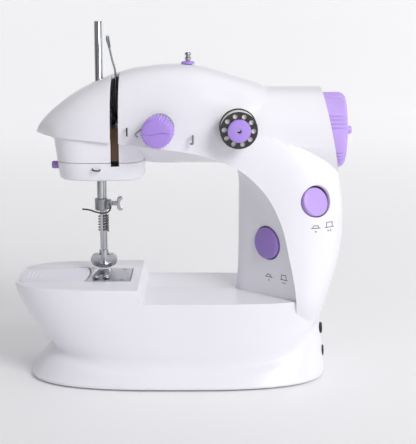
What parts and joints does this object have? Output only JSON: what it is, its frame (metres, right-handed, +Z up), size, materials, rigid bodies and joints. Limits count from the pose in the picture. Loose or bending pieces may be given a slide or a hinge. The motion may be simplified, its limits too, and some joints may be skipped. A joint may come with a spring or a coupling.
{
  "type": "sewing machine",
  "caption": "Small portable sewing machine with an arched arm over a flat bed, a presser foot, a handwheel, a front-mounted bobbin and push buttons.",
  "frame": {"origin": "centre of the bounding box's footprint, on the plane the rubber feet stand on", "axes": "+Z up; +X towards the handwheel; -Y towards the person sewing"},
  "size_m": [0.2054, 0.094, 0.216],
  "materials": {
    "housing_white": "semi-gloss moulded",
    "cover_white": "semi-gloss moulded",
    "lavender_plastic": "semi-gloss moulded",
    "violet_plastic": "semi-gloss moulded",
    "bobbin_plastic": "smoked moulded",
    "black_plastic": "satin moulded",
    "brown_plastic": "fine texture",
    "lamp_lens": "clear moulded",
    "nylon": "natural moulded",
    "foot_rubber": "matt",
    "belt_rubber": "matt",
    "chrome": "bright plated",
    "plate_chrome": "satin plated",
    "steel": "turned",
    "dark_wire": "oiled wire",
    "brass": "turned"
  },
  "bodies": {
    "machine": {"front_housing": "housing_white", "rear_housing": "housing_white", "base_plate": "housing_white", "battery_box": "black_plastic", "foot_front_left": "foot_rubber", "foot_front_right": "foot_rubber", "foot_rear_left": "foot_rubber", "foot_rear_right": "foot_rubber", "needle_plate": "plate_chrome", "head_cap": "housing_white", "slot_plate": "brown_plastic", "lamp": "lamp_lens", "head_guide": "dark_wire", "tension_post": "steel", "tension_disc": "chrome", "check_spring": "steel", "guide_pin": "dark_wire", "panel_hook": "dark_wire", "bobbin_spindle": "steel", "spool_pin_base": "lavender_plastic", "main_bearing_left": "nylon", "main_bearing_right": "nylon", "timing_belt": "belt_rubber", "drive_belt": "belt_rubber", "motor": "steel", "bobbin_case": "chrome", "dc_jack": "black_plastic", "pedal_jack": "black_plastic"},
    "battery_door": {"battery_door": "housing_white"},
    "slide_cover": {"slide_cover": "cover_white"},
    "feed": {"feed_dog": "steel"},
    "light_switch": {"light_switch": "violet_plastic"},
    "needle_bar": {"needle_bar": "chrome", "needle_clamp": "steel", "needle": "chrome", "clamp_guide": "steel", "needle_bar_yoke": "steel"},
    "clamp_screw": {"clamp_screw": "chrome"},
    "presser": {"presser_bar": "chrome", "presser_spring": "steel", "presser_collar": "steel", "foot_holder": "chrome"},
    "foot": {"presser_foot": "chrome"},
    "lifter": {"presser_lifter": "chrome"},
    "take_up": {"take_up_lever": "steel"},
    "tension_knob": {"tension_knob": "lavender_plastic"},
    "front_bobbin": {"front_bobbin": "bobbin_plastic", "bobbin_cap": "lavender_plastic"},
    "power_button": {"power_button": "lavender_plastic"},
    "speed_button": {"speed_button": "violet_plastic"},
    "spool_pin": {"spool_pin": "chrome"},
    "main_shaft": {"main_shaft": "steel", "handwheel": "lavender_plastic", "winder_spindle": "lavender_plastic", "crank_disc": "steel", "shaft_pulley": "nylon"},
    "lower_shaft": {"lower_shaft": "steel", "hook": "steel"},
    "lower_bobbin": {"lower_bobbin": "steel"},
    "motor_pulley": {"motor_pulley": "brass"}
  },
  "joints": [
    {"name": "main_shaft_spin", "type": "hinge", "parent": "machine", "child": "main_shaft", "pos_m": [0, 0, 0.151], "axis": [1, 0, 0], "continuous": true},
    {"name": "lower_shaft_spin", "type": "hinge", "parent": "machine", "child": "lower_shaft", "pos_m": [0, 0, 0.04], "axis": [1, 0, 0], "continuous": true},
    {"name": "motor_spin", "type": "hinge", "parent": "machine", "child": "motor_pulley", "pos_m": [0, 0.014, 0.021], "axis": [1, 0, 0], "continuous": true},
    {"name": "needle_bar_slide", "type": "slide", "parent": "machine", "child": "needle_bar", "axis": [0, 0, 1], "range_m": [-0.024, 0]},
    {"name": "clamp_screw_hinge", "type": "hinge", "parent": "needle_bar", "child": "clamp_screw", "pos_m": [-0.0433, 0, 0.1056], "axis": [1, 0, 0], "range_deg": [-360, 360]},
    {"name": "take_up_hinge", "type": "hinge", "parent": "machine", "child": "take_up", "pos_m": [-0.0395, 0, 0.151], "axis": [1, 0, 0], "range_deg": [0, 60]},
    {"name": "lifter_hinge", "type": "hinge", "parent": "machine", "child": "lifter", "pos_m": [-0.0495, 0, 0.141], "axis": [0, 1, 0], "range_deg": [0, 90]},
    {"name": "presser_slide", "type": "slide", "parent": "machine", "child": "presser", "axis": [0, 0, 1], "range_m": [0, 0.006]},
    {"name": "foot_hinge", "type": "hinge", "parent": "presser", "child": "foot", "pos_m": [-0.05, 0.009, 0.0629], "axis": [-1, 0, 0], "range_deg": [0, 10]},
    {"name": "feed_slide", "type": "slide", "parent": "machine", "child": "feed", "axis": [0, 1, 0], "range_m": [-0.0015, 0.0015]},
    {"name": "slide_cover_slide", "type": "slide", "parent": "machine", "child": "slide_cover", "axis": [-1, 0, 0], "range_m": [0, 0.04]},
    {"name": "battery_door_hinge", "type": "hinge", "parent": "machine", "child": "battery_door", "pos_m": [0, 0.0138, 0.0013], "axis": [1, 0, 0], "range_deg": [0, 75]},
    {"name": "tension_hinge", "type": "hinge", "parent": "machine", "child": "tension_knob", "pos_m": [-0.0121, -0.0286, 0.1561], "axis": [-0.121, -0.9842, -0.129], "range_deg": [-360, 360]},
    {"name": "front_bobbin_hinge", "type": "hinge", "parent": "machine", "child": "front_bobbin", "pos_m": [0.0327, -0.027, 0.1572], "axis": [0.044, -0.993, -0.11], "continuous": true},
    {"name": "lower_bobbin_spin", "type": "hinge", "parent": "machine", "child": "lower_bobbin", "pos_m": [0, 0, 0.04], "axis": [1, 0, 0], "continuous": true},
    {"name": "spool_pin_slide", "type": "slide", "parent": "machine", "child": "spool_pin", "axis": [0, 0, 1], "range_m": [0, 0.028]},
    {"name": "power_button_slide", "type": "slide", "parent": "machine", "child": "power_button", "axis": [-0.5003, 0.8004, -0.3302], "range_m": [0, 0.002], "stiffness_N_per_m": 400, "springref_m": -0.001},
    {"name": "speed_button_slide", "type": "slide", "parent": "machine", "child": "speed_button", "axis": [0.745, 0.667, 0], "range_m": [0, 0.002], "stiffness_N_per_m": 400, "springref_m": -0.001},
    {"name": "light_switch_slide", "type": "slide", "parent": "machine", "child": "light_switch", "axis": [1, 0, 0], "range_m": [0, 0.0015], "stiffness_N_per_m": 300, "springref_m": -0.001}
  ],
  "couplings": [
    {"joint": "lower_shaft_spin", "follows": "main_shaft_spin", "ratio": 1},
    {"joint": "motor_spin", "follows": "main_shaft_spin", "ratio": 3.6111},
    {"joint": "lifter_hinge", "follows": "presser_slide", "rad_per_m": 261.8}
  ]
}
